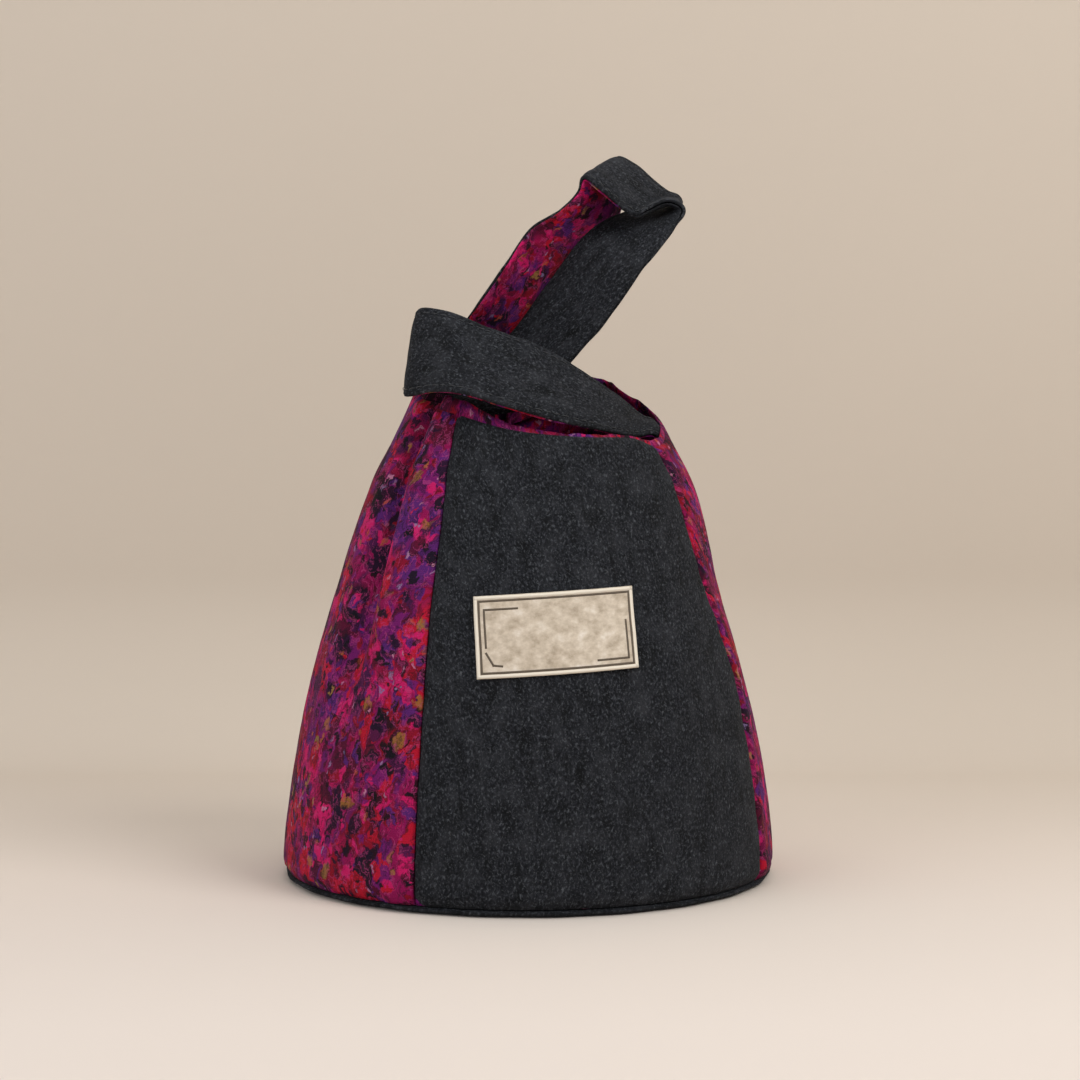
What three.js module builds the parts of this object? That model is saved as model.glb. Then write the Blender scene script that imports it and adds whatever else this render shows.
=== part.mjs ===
// Knot bag: four body panels on a round base, a loose lining, a long handle and a short handle.
// Millimetres, +Z up. The front faces -Y and the origin is the centre of the underside.
import * as THREE from 'three';

// Driving dimensions
const BASE_RADIUS = 87.8;
const RIM_HEIGHT = 158.3;
const WOOL = 1.5;
const LINING = 0.9;
const BASE_THICKNESS = 2.4;
const STRAP_OUTER = 1.2;
const STRAP_FACING = 0.8;
const LABEL_SIZE = { width: 55, height: 28, thickness: 0.9 };
const GAP = 0.3;

// Clearances and depths worked out from the driving dimensions
const LINING_INSET = WOOL + GAP;
const CAVITY_INSET = LINING_INSET + LINING + GAP;
const WALL_FOOT = BASE_THICKNESS + GAP;
const STRAP_INSET = CAVITY_INSET + GAP + STRAP_OUTER + GAP;
const ROOT_DEPTH = 8;
const LINING_RISE = 1;

// Colours
const CHARCOAL = 0x2b2d33;
const PRINT = 0xb2205e;
const PRINT_LINING = 0x93205c;
const CREAM = 0xcbbfa3;

// The wall outline: height, half width along X and half depth along Y, all in millimetres
const WALL_OUTLINE = [
  [0, 1.012, 1.012], [5, 1.026, 1.026], [26, 1.004, 1.004], [45, 0.970, 0.968],
  [78, 0.890, 0.882], [105, 0.806, 0.770], [142, 0.690, 0.609], [160, 0.592, 0.524],
  [174, 0.517, 0.484], [190, 0.440, 0.456],
].map(([z, a, b]) => [z, a * BASE_RADIUS, b * BASE_RADIUS]);

// Rim height above the front middle, against the angle round from the front, positive to +X
const RIM_OUTLINE = [
  [-180, 15], [-135, 24], [-110, 21], [-90, 16], [-70, 11.5], [-50, 7.5], [-25, 2], [0, 0],
  [25, 0], [36, -2.5], [48, -1], [60, 2.5], [75, 8], [95, 16.5], [112, 23], [135, 25], [180, 15],
];

// Angle of a side seam from the middle of the front or back panel, against height.
// The front right seam is drawn in at the neck, where the short handle pulls on it.
const SEAM_OUTLINE = [[0, 45.5], [63, 46.5], [105, 48], [142, 49.5], [165, 53]];
const PULLED_SEAM_OUTLINE = [[0, 45.5], [63, 48], [93, 46.5], [128, 41.5], [150, 39], [165, 35]];

// Smooth value through a list of [place, value, ...] rows, read from one column
function through(rows, place, column = 1) {
  let k = 0;
  while (k < rows.length - 2 && place > rows[k + 1][0]) k += 1;
  const slope = (i) => {
    const before = rows[Math.max(i - 1, 0)];
    const after = rows[Math.min(i + 1, rows.length - 1)];
    return (after[column] - before[column]) / (after[0] - before[0]);
  };
  const span = rows[k + 1][0] - rows[k][0];
  const t = THREE.MathUtils.clamp((place - rows[k][0]) / span, 0, 1);
  const hold = (2 * t - 3) * t * t;
  return rows[k][column] * (1 + hold) - rows[k + 1][column] * hold
    + slope(k) * span * t * (1 - t) * (1 - t)
    - slope(k + 1) * span * t * t * (1 - t);
}

const rimAt = (angle) => RIM_HEIGHT + through(RIM_OUTLINE, angle > 180 ? angle - 360 : angle);
const seamAt = (z) => through(SEAM_OUTLINE, z);
const pulledSeamAt = (z) => through(PULLED_SEAM_OUTLINE, z);
const smooth = THREE.MathUtils.smoothstep;

// A soft inward fold down each side panel, deepest near the rim
const SIDE_FOLDS = [
  { angle: -73, width: 7.5, depth: 4.5, from: 55, to: 115 },
  { angle: 100, width: 9, depth: 3, from: 60, to: 125 },
];
// The neck leans a little to +X and to the front
const LEAN = { x: 1.9, y: -0.7, from: 95, to: 142 };

function foldDepth(angle, z) {
  return SIDE_FOLDS.reduce((sum, fold) => {
    const across = (angle - fold.angle) / fold.width;
    return sum + fold.depth * Math.exp(-across * across) * smooth(z, fold.from, fold.to);
  }, 0);
}

// A point of the body wall, moved inwards by the inset
function wallPoint(angle, z, inset) {
  const turn = THREE.MathUtils.degToRad(angle);
  const a = through(WALL_OUTLINE, z, 1);
  const b = through(WALL_OUTLINE, z, 2);
  const out = new THREE.Vector2(Math.sin(turn) / a, -Math.cos(turn) / b).normalize();
  const move = inset + foldDepth(angle > 180 ? angle - 360 : angle, z);
  const lean = smooth(z, LEAN.from, LEAN.to);
  return new THREE.Vector3(
    a * Math.sin(turn) - out.x * move + LEAN.x * lean,
    -b * Math.cos(turn) - out.y * move + LEAN.y * lean,
    z,
  );
}

// A closed solid between two matching grids of points, faces out
function solidBetween(front, back) {
  const rows = front.length;
  const columns = front[0].length;
  const points = [...front.flat(), ...back.flat()];
  const index = [];
  const at = (side, i, j) => side * rows * columns + i * columns + j;
  const quad = (a, b, c, d) => index.push(a, b, c, a, c, d);
  for (let i = 0; i < rows - 1; i += 1) {
    for (let j = 0; j < columns - 1; j += 1) {
      quad(at(0, i, j), at(0, i, j + 1), at(0, i + 1, j + 1), at(0, i + 1, j));
      quad(at(1, i, j), at(1, i + 1, j), at(1, i + 1, j + 1), at(1, i, j + 1));
    }
  }
  for (let i = 0; i < rows - 1; i += 1) {
    quad(at(0, i, 0), at(0, i + 1, 0), at(1, i + 1, 0), at(1, i, 0));
    quad(at(0, i + 1, columns - 1), at(0, i, columns - 1), at(1, i, columns - 1), at(1, i + 1, columns - 1));
  }
  for (let j = 0; j < columns - 1; j += 1) {
    quad(at(0, 0, j + 1), at(0, 0, j), at(1, 0, j), at(1, 0, j + 1));
    quad(at(0, rows - 1, j), at(0, rows - 1, j + 1), at(1, rows - 1, j + 1), at(1, rows - 1, j));
  }
  const geometry = new THREE.BufferGeometry().setFromPoints(points);
  geometry.setIndex(volumeOf(points, index) > 0 ? index : index.reverse());
  geometry.computeVertexNormals();
  return geometry;
}

function volumeOf(points, index) {
  let volume = 0;
  for (let k = 0; k < index.length; k += 3) {
    const [a, b, c] = [points[index[k]], points[index[k + 1]], points[index[k + 2]]];
    volume += a.dot(new THREE.Vector3().crossVectors(b, c)) / 6;
  }
  return volume;
}

function grid(rows, columns, pointAt) {
  return Array.from({ length: rows + 1 }, (_, i) => (
    Array.from({ length: columns + 1 }, (__, j) => pointAt(i / rows, j / columns))
  ));
}

const bag = new THREE.Group();

function add(name, geometry, color, roughness = 0.95) {
  const material = new THREE.MeshStandardMaterial({ color, roughness, metalness: 0 });
  const mesh = new THREE.Mesh(geometry, material);
  mesh.name = name;
  bag.add(mesh);
}

// Base: a disc of wool, its edge rolled under as a dark band round the foot
function basePanel() {
  const edge = [[0.965, 0], [0.993, 0.15], [1.009, 0.45], [1.014, 0.75], [1.012, 1]];
  const profile = [
    new THREE.Vector2(0, 0),
    ...edge.map(([r, h]) => new THREE.Vector2(r * BASE_RADIUS, h * BASE_THICKNESS)),
    new THREE.Vector2(0, BASE_THICKNESS),
  ];
  return new THREE.LatheGeometry(profile, 72).rotateX(Math.PI / 2);
}

// Lining base: a thinner disc laid on the base panel
function liningBase() {
  const radius = BASE_RADIUS - CAVITY_INSET;
  const profile = [
    new THREE.Vector2(0, WALL_FOOT),
    new THREE.Vector2(radius, WALL_FOOT),
    new THREE.Vector2(radius, WALL_FOOT + LINING),
    new THREE.Vector2(0, WALL_FOOT + LINING),
  ];
  return new THREE.LatheGeometry(profile, 48).rotateX(Math.PI / 2);
}

// One wall panel between two seams, from the foot to the rim
function wallPanel(leftSeam, rightSeam, { inset, thickness, rise, rows, columns }) {
  const face = (depth) => grid(rows, columns, (s, t) => {
    const angleAt = (z) => {
      const seamGap = THREE.MathUtils.radToDeg(GAP / 2 / through(WALL_OUTLINE, z, 1));
      return THREE.MathUtils.lerp(leftSeam(z) + seamGap, rightSeam(z) - seamGap, t);
    };
    const roughHeight = s * RIM_HEIGHT;
    const z = THREE.MathUtils.lerp(WALL_FOOT, rimAt(angleAt(roughHeight)) + rise, s);
    return wallPoint(angleAt(z), z, depth);
  });
  return solidBetween(face(inset), face(inset + thickness));
}

const SEAMS = {
  front: [(z) => -seamAt(z), pulledSeamAt],
  right: [pulledSeamAt, (z) => 180 - seamAt(z)],
  back: [(z) => 180 - seamAt(z), (z) => 180 + seamAt(z)],
  left: [(z) => seamAt(z) - 180, (z) => -seamAt(z)],
};
const STEPS = { rows: 15, columns: 12 };
const SHELL = { inset: 0, thickness: WOOL, rise: 0, ...STEPS };
const INSIDE = { inset: LINING_INSET, thickness: LINING, rise: LINING_RISE, ...STEPS };

// Label: a small patch laid on the front panel, turned a little
const LABEL_PLACE = { angle: -12.7, height: 91.9, turn: 3.6, sideTurn: 0, lean: 15 };

function label() {
  const turn = THREE.MathUtils.degToRad(LABEL_PLACE.turn);
  const sideTurn = THREE.MathUtils.degToRad(LABEL_PLACE.sideTurn);
  const upright = Math.cos(THREE.MathUtils.degToRad(LABEL_PLACE.lean));
  const face = (depth) => grid(4, 8, (s, t) => {
    const u = (t - 0.5) * LABEL_SIZE.width;
    const v = (s - 0.5) * LABEL_SIZE.height;
    const z = LABEL_PLACE.height + (u * Math.sin(turn) + v * Math.cos(turn)) * upright;
    const along = u * Math.cos(turn) - v * Math.sin(sideTurn);
    const angle = LABEL_PLACE.angle + THREE.MathUtils.radToDeg(along / through(WALL_OUTLINE, z, 1));
    return wallPoint(angle, z, depth);
  });
  return solidBetween(face(-GAP - LABEL_SIZE.thickness), face(-GAP));
}

// Strap rows: each is a list of points across the width of the strap's middle surface
const STRAP_COLUMNS = [0, 0.25, 0.5, 0.75, 1];

// A strap's end, sewn flat to the inside of the lining between two angles: below the rim, then just above it
const rootRows = (nearAngle, farAngle) => [-ROOT_DEPTH, 1].map((rise) => STRAP_COLUMNS.map((t) => {
  const angle = THREE.MathUtils.lerp(nearAngle, farAngle, t);
  return wallPoint(angle, rimAt(angle) + rise, STRAP_INSET);
}));

// A free row runs straight from the near edge to the far edge, with heights above the front rim
const freeRow = ([near, far]) => {
  const [start, end] = [near, far].map(([x, y, h]) => new THREE.Vector3(x, y, RIM_HEIGHT + h));
  return STRAP_COLUMNS.map((t) => start.clone().lerp(end, t));
};

// Long handle: up the back left, folded over at the top, curled round and down to the front left
const LONG_ROWS = [
  [[-26, 5, 38], [-6.5, 22, 29.5]],
  [[-14, -8.5, 60.5], [9, 9, 50.5]],
  [[-3.5, -12.5, 76.5], [20.5, 3, 65]],
  [[6, -16.5, 83], [30.5, 1, 76.5]],
  [[12.5, -19, 90], [37, 0, 91]],
  [[14, -20, 94.5], [36, -1, 107]],
  [[19, -23.5, 90], [41, -5, 104]],
  [[26.5, -25.5, 84], [49, -7.5, 97]],
  [[32, -25.5, 81.5], [54, -7, 94.5]],
  [[37, -25, 84], [59, -5, 93.5]],
  [[44.6, -26.6, 87.2], [61, -2, 91.5]],
  [[49.2, -28.8, 84.7], [57, 1, 90]],
  [[44.5, -31, 76.5], [38.4, -1.9, 87]],
  [[31.5, -32.4, 61.5], [19.5, -9.1, 76.5]],
  [[19.5, -27.3, 43], [5.9, -2.8, 57.5]],
  [[8.2, -20.8, 28.5], [-5.4, 2.6, 40.5]],
  [[-6.7, -23.1, 13], [-17, 3.3, 30]],
  [[-23.3, -24.3, 9], [-29.3, -3.8, 26]],
];
const LONG_ROOTS = { back: [-139, -178], front: [-54, -86] };
// The row, counted along the list, where the print facing meets the plain one under the top fold
const FACING_CHANGE = 7;

// Short handle: along the front, folded back sharply at the left end, round the long handle to the back
const SHORT_ROWS = [
  [[31, -29, 1], [38, -16, 10]],
  [[15, -40, 2], [26, -22, 16]],
  [[1, -44.5, 4], [14, -26, 22.5]],
  [[-13, -44.5, 6.8], [0.5, -27, 29.5]],
  [[-25.5, -42, 10.4], [-12.5, -26, 35]],
  [[-37, -35.5, 14.3], [-24, -20.5, 39.5]],
  [[-44.5, -24, 15.8], [-35, -14, 45]],
  [[-49.5, -12.5, 15], [-42, -6.5, 47]],
  [[-49, -6, 15.5], [-42, 0, 46]],
  [[-44, 4, 20], [-36, 7, 43.5]],
  [[-32, 28, 30], [-24, 22, 43]],
  [[-15, 42, 32], [-6, 32, 42]],
  [[0, 44, 28], [14, 36, 36]],
];
const SHORT_ROOTS = { front: [54, 72], back: [176, 141] };

// The middle surface of a strap: one smooth curve through each column of its rows, with a normal at each point
function strapSurface(rows, facesOut) {
  const spans = rows.length - 1;
  const curves = STRAP_COLUMNS.map((_, j) => new THREE.CatmullRomCurve3(rows.map((row) => row[j])));
  const middle = grid(spans * STEPS_PER_SPAN, STRAP_COLUMNS.length - 1, (s, t) => (
    curves[Math.round(t * (STRAP_COLUMNS.length - 1))].getPoint(s)
  ));
  const last = { i: middle.length - 1, j: STRAP_COLUMNS.length - 1 };
  const normals = middle.map((row, i) => row.map((_, j) => {
    const along = middle[Math.min(i + 1, last.i)][j].clone().sub(middle[Math.max(i - 1, 0)][j]);
    const across = row[Math.min(j + 1, last.j)].clone().sub(row[Math.max(j - 1, 0)]);
    return along.cross(across).normalize().multiplyScalar(facesOut);
  }));
  return { middle, normals, spans };
}

// One layer of a strap between two offsets from the middle surface and two rows of it
function strapLayer({ middle, normals }, [low, high], from = 0, to = middle.length - 1) {
  const face = (offset) => middle.slice(from, to + 1).map((row, i) => row.map((point, j) => (
    point.clone().addScaledVector(normals[from + i][j], offset)
  )));
  return solidBetween(face(low), face(high));
}

const STEPS_PER_SPAN = 2;
const OUTSIDE = [GAP / 2, GAP / 2 + STRAP_OUTER];
const FACING = [-GAP / 2 - STRAP_FACING, -GAP / 2];

function longHandle() {
  const [backEnd, frontEnd] = [rootRows(...LONG_ROOTS.back), rootRows(...LONG_ROOTS.front).reverse()];
  const surface = strapSurface([...backEnd, ...LONG_ROWS.map(freeRow), ...frontEnd], 1);
  const change = (backEnd.length + FACING_CHANGE) * STEPS_PER_SPAN;
  const last = surface.middle.length - 1;
  add('long_handle_outer', strapLayer(surface, OUTSIDE), CHARCOAL);
  add('long_handle_back_facing', strapLayer(surface, FACING, 0, change), PRINT);
  surface.middle[change] = surface.middle[change].map((point, j) => {
    const next = surface.middle[change + 1][j];
    return point.clone().addScaledVector(next.clone().sub(point).normalize(), GAP);
  });
  add('long_handle_front_facing', strapLayer(surface, FACING, change, last), CHARCOAL);
}

function shortHandle() {
  const [frontEnd, backEnd] = [rootRows(...SHORT_ROOTS.front), rootRows(...SHORT_ROOTS.back).reverse()];
  const surface = strapSurface([...frontEnd, ...SHORT_ROWS.map(freeRow), ...backEnd], -1);
  add('short_handle_outer', strapLayer(surface, OUTSIDE), CHARCOAL);
  add('short_handle_facing', strapLayer(surface, FACING), PRINT);
}

add('base_panel', basePanel(), CHARCOAL);
add('front_panel', wallPanel(...SEAMS.front, SHELL), CHARCOAL);
add('back_panel', wallPanel(...SEAMS.back, SHELL), CHARCOAL);
add('left_side_panel', wallPanel(...SEAMS.left, SHELL), PRINT);
add('right_side_panel', wallPanel(...SEAMS.right, SHELL), PRINT);
add('lining_base', liningBase(), PRINT_LINING);
add('lining_front', wallPanel(...SEAMS.front, INSIDE), PRINT_LINING);
add('lining_back', wallPanel(...SEAMS.back, INSIDE), PRINT_LINING);
add('lining_left', wallPanel(...SEAMS.left, INSIDE), PRINT_LINING);
add('lining_right', wallPanel(...SEAMS.right, INSIDE), PRINT_LINING);
add('label', label(), CREAM, 0.8);
longHandle();
shortHandle();

export default bag;
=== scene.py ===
import math

import bmesh
import bpy
import numpy as np
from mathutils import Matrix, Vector, noise


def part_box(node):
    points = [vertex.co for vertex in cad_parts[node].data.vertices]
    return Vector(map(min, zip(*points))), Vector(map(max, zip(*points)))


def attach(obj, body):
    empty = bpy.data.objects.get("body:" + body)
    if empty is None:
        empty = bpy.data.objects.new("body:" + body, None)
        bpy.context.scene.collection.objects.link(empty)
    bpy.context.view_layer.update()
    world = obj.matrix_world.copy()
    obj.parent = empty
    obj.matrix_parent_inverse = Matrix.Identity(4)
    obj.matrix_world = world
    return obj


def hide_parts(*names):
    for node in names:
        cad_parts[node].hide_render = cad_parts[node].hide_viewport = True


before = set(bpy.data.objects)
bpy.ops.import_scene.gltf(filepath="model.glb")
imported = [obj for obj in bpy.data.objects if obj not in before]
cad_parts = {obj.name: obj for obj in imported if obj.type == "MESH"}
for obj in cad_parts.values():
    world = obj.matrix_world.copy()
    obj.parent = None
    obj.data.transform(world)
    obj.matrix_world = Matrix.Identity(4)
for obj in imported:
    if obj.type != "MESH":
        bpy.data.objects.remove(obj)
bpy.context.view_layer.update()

# Body wall
# The bag's body is four cloth panels sewn edge to edge and on to a round base. Charcoal wool is at the
# front and back and printed cotton at the two sides. Each panel is a padded sheet about 1.5 mm thick
# that rolls in at its seams, with its upper edge turned in over the lining.
MM = 0.001
ROLLED_EDGE = 1.014
foot_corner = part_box("base_panel")[1]
BASE_RADIUS = foot_corner[0] / ROLLED_EDGE
BASE_TOP = foot_corner[2]
RIM_HEIGHT = 158.3 * MM
WOOL_THICKNESS = 1.5 * MM
SEAM_GAP = 0.3 * MM

# Wall outline: height in millimetres, half width and half depth as shares of the base's radius
WALL_OUTLINE = [
    (0, 1.012, 1.012), (5, 1.026, 1.026), (26, 1.004, 1.004), (45, 0.970, 0.968),
    (78, 0.890, 0.882), (105, 0.806, 0.770), (142, 0.690, 0.609), (160, 0.592, 0.524),
    (174, 0.517, 0.484), (190, 0.440, 0.456),
]
# Rim height above the front middle in millimetres, against the angle round from the front
RIM_OUTLINE = [
    (-180, 15), (-135, 24), (-110, 21), (-90, 16), (-70, 11.5), (-50, 7.5), (-25, 2), (0, 0),
    (25, 0), (36, -2.5), (48, -1), (60, 2.5), (75, 8), (95, 16.5), (112, 23), (135, 25), (180, 15),
]
# Seam angle from the middle of the front or back, against height; the front right one is pulled in
SEAM_OUTLINE = [(0, 45.5), (63, 46.5), (105, 48), (142, 49.5), (165, 53)]
PULLED_SEAM_OUTLINE = [(0, 45.5), (63, 48), (93, 46.5), (128, 41.5), (150, 39), (165, 35)]
# Soft inward folds of the side panels: angle, width, depth, and the heights where they fade in
SIDE_FOLDS = [(-74, 5.2, 8.5, 50, 105), (-61, 6.5, -1.6, 55, 110), (100, 9, 3, 60, 125)]
LEAN = Vector((1.9, -0.7, 0)) * MM


def through(rows, place, column=1):
    """Smooth value through rows of (place, value, ...) for an array of places."""
    rows = np.array(rows, float)
    xs, ys = rows[:, 0], rows[:, column]
    place = np.clip(np.asarray(place, float), xs[0], xs[-1])
    k = np.clip(np.searchsorted(xs, place, side="right") - 1, 0, len(xs) - 2)
    before, after = np.maximum(np.arange(len(xs)) - 1, 0), np.minimum(np.arange(len(xs)) + 1, len(xs) - 1)
    slope = (ys[after] - ys[before]) / (xs[after] - xs[before])
    span = xs[k + 1] - xs[k]
    t = (place - xs[k]) / span
    hold = (2 * t - 3) * t * t
    return (ys[k] * (1 + hold) - ys[k + 1] * hold
            + slope[k] * span * t * (1 - t) ** 2 - slope[k + 1] * span * t * t * (1 - t))


def smooth(value, low, high):
    t = np.clip((np.asarray(value, float) - low) / (high - low), 0, 1)
    return t * t * (3 - 2 * t)


def half_turn(angle):
    return np.where(np.asarray(angle) > 180, np.asarray(angle) - 360, angle)


def rim_at(angle):
    return RIM_HEIGHT + through(RIM_OUTLINE, half_turn(angle)) * MM


def wall_points(angle, z, inset):
    """Points of the body wall at angles and heights, moved in by the inset; all in metres and degrees."""
    turn, mm = np.radians(angle), z / MM
    a = through(WALL_OUTLINE, mm, 1) * BASE_RADIUS
    b = through(WALL_OUTLINE, mm, 2) * BASE_RADIUS
    out = np.stack([np.sin(turn) / a, -np.cos(turn) / b], -1)
    out /= np.linalg.norm(out, axis=-1, keepdims=True)
    fold = sum(depth * MM * np.exp(-((half_turn(angle) - middle) / width) ** 2) * smooth(mm, low, high)
               for middle, width, depth, low, high in SIDE_FOLDS)
    lean = smooth(mm, 95, 142)
    x = a * np.sin(turn) - out[..., 0] * (inset + fold) + LEAN.x * lean
    y = -b * np.cos(turn) - out[..., 1] * (inset + fold) + LEAN.y * lean
    return np.stack([x, y, z + 0 * x], -1)


def cloth_noise(u, v, size, seed):
    """Soft noise from -1 to 1 over cloth places in metres, with features of the given size."""
    flat = np.stack([u.ravel(), v.ravel()], -1) / size
    values = [noise.noise(Vector((a, b, seed))) for a, b in flat]
    return np.array(values).reshape(u.shape)


def face_outward(mesh, weld=0.0):
    """Turns a mesh's faces outward, after joining points that lie closer than weld."""
    shape = bmesh.new()
    shape.from_mesh(mesh)
    if weld:
        bmesh.ops.remove_doubles(shape, verts=shape.verts, dist=weld)
    bmesh.ops.recalc_face_normals(shape, faces=shape.faces)
    shape.to_mesh(mesh)
    shape.free()


def place_mesh(mesh, material):
    """Makes a mesh into a smooth object of the scene, in one material."""
    for face in mesh.polygons:
        face.use_smooth = True
    mesh.materials.append(material)
    piece = bpy.data.objects.new(mesh.name, mesh)
    bpy.context.scene.collection.objects.link(piece)
    return piece


def sheet_mesh(name, front, back, places, material):
    """A closed sheet between two grids of points, with a map of cloth places in metres."""
    rows, columns = front.shape[:2]
    count = rows * columns
    index = np.arange(count).reshape(rows, columns)
    corners = [index[:-1, :-1], index[:-1, 1:], index[1:, 1:], index[1:, :-1]]
    quads = np.stack(corners, -1).reshape(-1, 4)
    ring = np.concatenate([index[0, :-1], index[:-1, -1], index[-1, :0:-1], index[:0:-1, 0]])
    ahead = np.roll(ring, -1)
    rim = np.stack([ahead, ring, ring + count, ahead + count], -1)
    faces = np.concatenate([quads, quads[:, ::-1] + count, rim])
    points = np.concatenate([front.reshape(-1, 3), back.reshape(-1, 3)])
    mesh = bpy.data.meshes.new(name)
    mesh.from_pydata(points.tolist(), [], faces.tolist())
    cloth_map = mesh.uv_layers.new(name="cloth")
    both = np.concatenate([places.reshape(-1, 2)] * 2)
    used = np.empty(len(mesh.loops), dtype=np.int32)
    mesh.loops.foreach_get("vertex_index", used)
    cloth_map.data.foreach_set("uv", both[used].ravel())
    face_outward(mesh)
    piece = place_mesh(mesh, material)
    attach(piece, "root")
    return piece


def linear(code):
    """A colour given as sRGB hex, in linear light."""
    parts = [int(code[k:k + 2], 16) / 255 for k in (1, 3, 5)]
    return [c / 12.92 if c <= 0.04045 else ((c + 0.055) / 1.055) ** 2.4 for c in parts] + [1.0]


def wire(node, inputs):
    """Sets a node's inputs, and links those that are given as sockets."""
    for key, value in inputs.items():
        if isinstance(value, bpy.types.NodeSocket):
            node.id_data.links.new(value, node.inputs[key])
        else:
            node.inputs[key].default_value = value


def add_node(tree, kind, inputs, out=0, stops=(), interpolation="LINEAR", **settings):
    """Adds a node with its settings and links, and gives one of its outputs. The stops of a colour ramp
    are (place, sRGB hex)."""
    node = tree.nodes.new(kind)
    for key, value in settings.items():
        setattr(node, key, value)
    wire(node, inputs)
    if stops:
        node.color_ramp.interpolation = interpolation
        while len(node.color_ramp.elements) < len(stops):
            node.color_ramp.elements.new(0.5)
        for element, (at, code) in zip(node.color_ramp.elements, stops):
            element.position = at
            element.color = linear(code)
    return node.outputs[out]


def new_material(name):
    material = bpy.data.materials.new(name)
    material.use_nodes = True
    return material, material.node_tree, material.node_tree.nodes["Principled BSDF"]


def new_cloth(name):
    """A material, its tree, its shader and the cloth places that its patterns are drawn on."""
    material, tree, shader = new_material(name)
    return material, tree, shader, add_node(tree, "ShaderNodeUVMap", {}, uv_map="cloth")


def scaled(tree, place, across, along, turn=0.0, shift=0.0):
    """Cloth places turned, then shifted by and divided by a pattern size in mm, across and along."""
    turned = add_node(tree, "ShaderNodeMapping", {
        "Vector": place, "Rotation": (0, 0, turn), "Location": (shift * MM, 0, 0)})
    return add_node(tree, "ShaderNodeMapping", {
        "Vector": turned, "Scale": (1 / (across * MM), 1 / (along * MM), 1)})


def lay_over(tree, colour, over, pattern, low, high, strength=1.0):
    """Lays a colour over another where a pattern runs from low to high, at most at the given strength."""
    share = add_node(tree, "ShaderNodeMapRange", {
        "Value": pattern, "From Min": low, "From Max": high, "To Max": strength})
    return add_node(tree, "ShaderNodeMix", {0: share, 6: colour, 7: over}, 2, data_type="RGBA")


def brushed_wool():
    """Charcoal woollen cloth, woven and lightly brushed: a dark blue-grey heather, mottled, with soft pale
    fibres and no gloss. Its fibres, under 0.1 mm, are drawn 0.5 mm wide so that they show."""
    material, tree, shader, place = new_cloth("brushed_wool")
    heather = add_node(tree, "ShaderNodeTexNoise", {
        "Vector": scaled(tree, place, 0.9, 1.35), "Scale": 1.0, "Detail": 3.0, "Roughness": 0.62})
    colour = add_node(tree, "ShaderNodeValToRGB", {"Fac": heather}, stops=[
        (0.30, "#0a0c10"), (0.43, "#131519"), (0.54, "#1c1e23"), (0.66, "#303238"), (0.78, "#43464c")])
    # Pale patches, dark patches and three lays of fibres: size across and along, turn, shift, the noise's
    # detail, roughness and distortion, the colour, and where the noise begins to show and is full
    for across, along, turn, shift, detail, rough, distortion, code, low, high in (
            (8, 11, 0.0, 0, 3.0, 0.62, 0.0, "#37393e", 0.46, 1.0),
            (4.5, 13, 0.0, 30, 2.0, 0.5, 0.0, "#0a0c0e", 0.50, 0.22),
            (0.8, 1.3, 0.25, 0, 2.0, 0.5, 0.5, "#51555b", 0.57, 0.79),
            (0.6, 1.1, -0.5, 7, 2.0, 0.5, 0.5, "#585c61", 0.61, 0.83),
            (0.55, 1.0, 1.1, 13, 2.0, 0.5, 0.5, "#4f5358", 0.63, 0.85)):
        pattern = add_node(tree, "ShaderNodeTexNoise", {
            "Vector": scaled(tree, place, across, along, turn, shift), "Scale": 1.0, "Detail": detail,
            "Roughness": rough, "Distortion": distortion})
        colour = lay_over(tree, colour, linear(code), pattern, low, high)
    nap = add_node(tree, "ShaderNodeTexNoise", {
        "Vector": scaled(tree, place, 0.7, 1.0), "Scale": 1.0, "Detail": 3.0, "Roughness": 0.65})
    relief = add_node(tree, "ShaderNodeBump", {"Height": nap, "Strength": 0.5, "Distance": 0.3 * MM})
    wire(shader, {
        "Base Color": colour, "Normal": relief, "Roughness": 0.95, "Specular IOR Level": 0.15,
        "Sheen Weight": 0.04, "Sheen Roughness": 0.5, "Sheen Tint": linear("#8d9299")})
    return material


# Dyes of the print: magenta, wine, pink, crimson, plum, red, violet, night purple, navy black, orchid
DYES = ["#860b4b", "#4c0b26", "#c0165f", "#820a20", "#3e123f", "#b0112b", "#4f1f68", "#1d0d26", "#0e0d13",
        "#6c1662"]
# Blots of the print: size across and along, turn, shift, the share of cells left bare, the outer and inner
# edge of a blot's soft rim, and the order of the dyes
BLOTS = [
    (15, 20, 0.2, 31, 0.35, 0.62, 0.42, (3, 0, 4, 2, 8, 5, 1, 6, 7, 9)),
    (9.5, 13, -0.3, 67, 0.45, 0.56, 0.42, (0, 7, 2, 3, 6, 1, 8, 5, 9, 4)),
    (6, 11, 0.45, 97, 0.56, 0.50, 0.38, (1, 8, 5, 9, 0, 4, 2, 7, 3, 6)),
    (8, 4.2, 0.5, 143, 0.70, 0.46, 0.36, (8, 3, 0, 7, 1, 2, 4, 8, 6, 5)),
    (3.0, 6.0, -0.5, 171, 0.70, 0.46, 0.34, (8, 2, 1, 7, 0, 9, 3, 8, 5, 6)),
    (2.2, 3.0, 0.9, 193, 0.76, 0.44, 0.28, (7, 2, 8, 0, 1, 8, 5, 9, 3, 6)),
]
# Gold, bronze and lilac flecks: size across and along, shift, share left bare, and two colours
FLECKS = [(6.5, 6.5, 211, 0.965, "#7d6a34", "#9a5a2c"), (2.6, 4.2, 263, 0.955, "#96703f", "#a84a34"),
          (1.9, 2.6, 307, 0.955, "#7a6c98", "#b87896")]
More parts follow.
